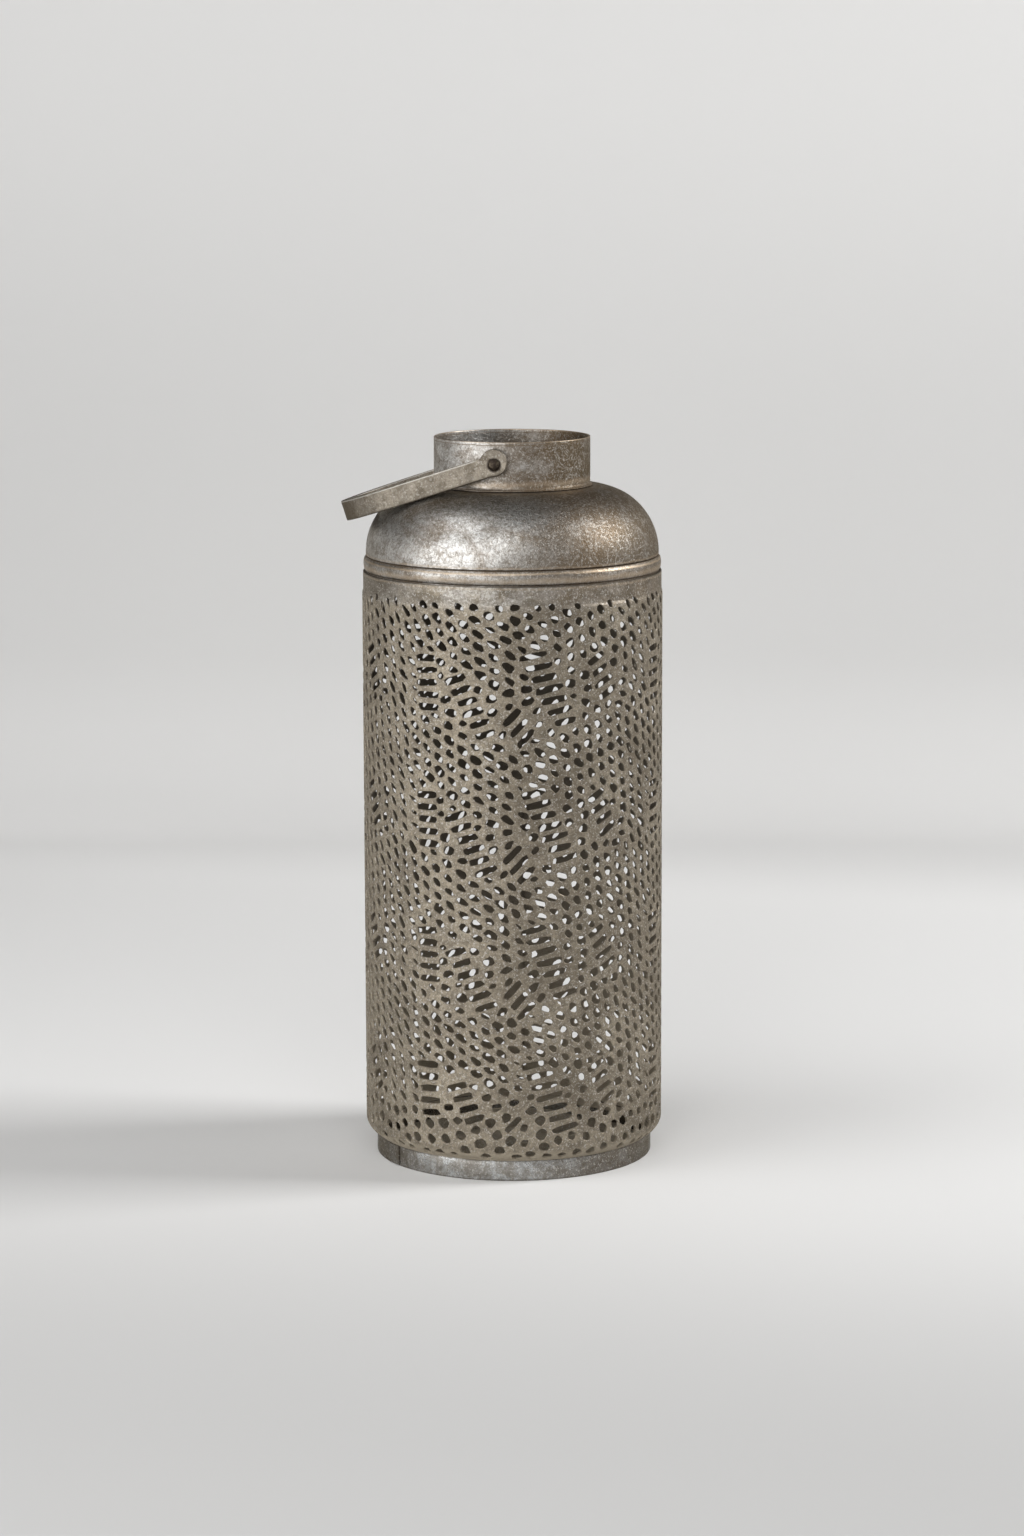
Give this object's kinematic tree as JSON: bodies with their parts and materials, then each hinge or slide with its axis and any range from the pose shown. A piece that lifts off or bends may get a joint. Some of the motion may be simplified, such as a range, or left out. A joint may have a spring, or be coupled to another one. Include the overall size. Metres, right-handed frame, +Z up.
{
  "type": "candle lantern",
  "caption": "Tall round candle lantern with a pierced sheet-metal wall, domed shoulder, open neck and a flat bail handle that swings on rivets.",
  "frame": {"origin": "centre of the base plate's underside, on the surface the lantern stands on", "axes": "+Z up along the lantern's axis, -Y towards the front rivet, the handle lies towards -X at rest"},
  "size_m": [0.1635, 0.152, 0.3679],
  "materials": {
    "antique_pewter": "antiqued pewter grey, satin, with brown patina in the grooves",
    "pierced_sheet": "warm grey antiqued sheet, matte, finely speckled",
    "zinc_base": "blue-grey zinc, satin",
    "strap_metal": "worn warm grey metal, satin",
    "dark_iron": "dark brown-black oxide"
  },
  "bodies": {
    "lantern": {"base_plate": "zinc_base", "foot_ring": "zinc_base", "candle_ring": "zinc_base", "pierced_wall": "pierced_sheet", "seam_strip": "pierced_sheet", "joint_band": "antique_pewter", "shoulder_dome": "antique_pewter", "neck_collar": "antique_pewter", "rivet_front": "dark_iron", "rivet_back": "dark_iron", "spacer_front": "strap_metal", "spacer_back": "strap_metal", "rove_front": "dark_iron", "rove_back": "dark_iron"},
    "bail": {"bail_handle": "strap_metal"}
  },
  "joints": [
    {"name": "bail_swing", "type": "hinge", "parent": "lantern", "child": "bail", "pos_m": [0, 0, 0.357], "axis": [0, 1, 0], "range_deg": [0, 216.5]}
  ]
}
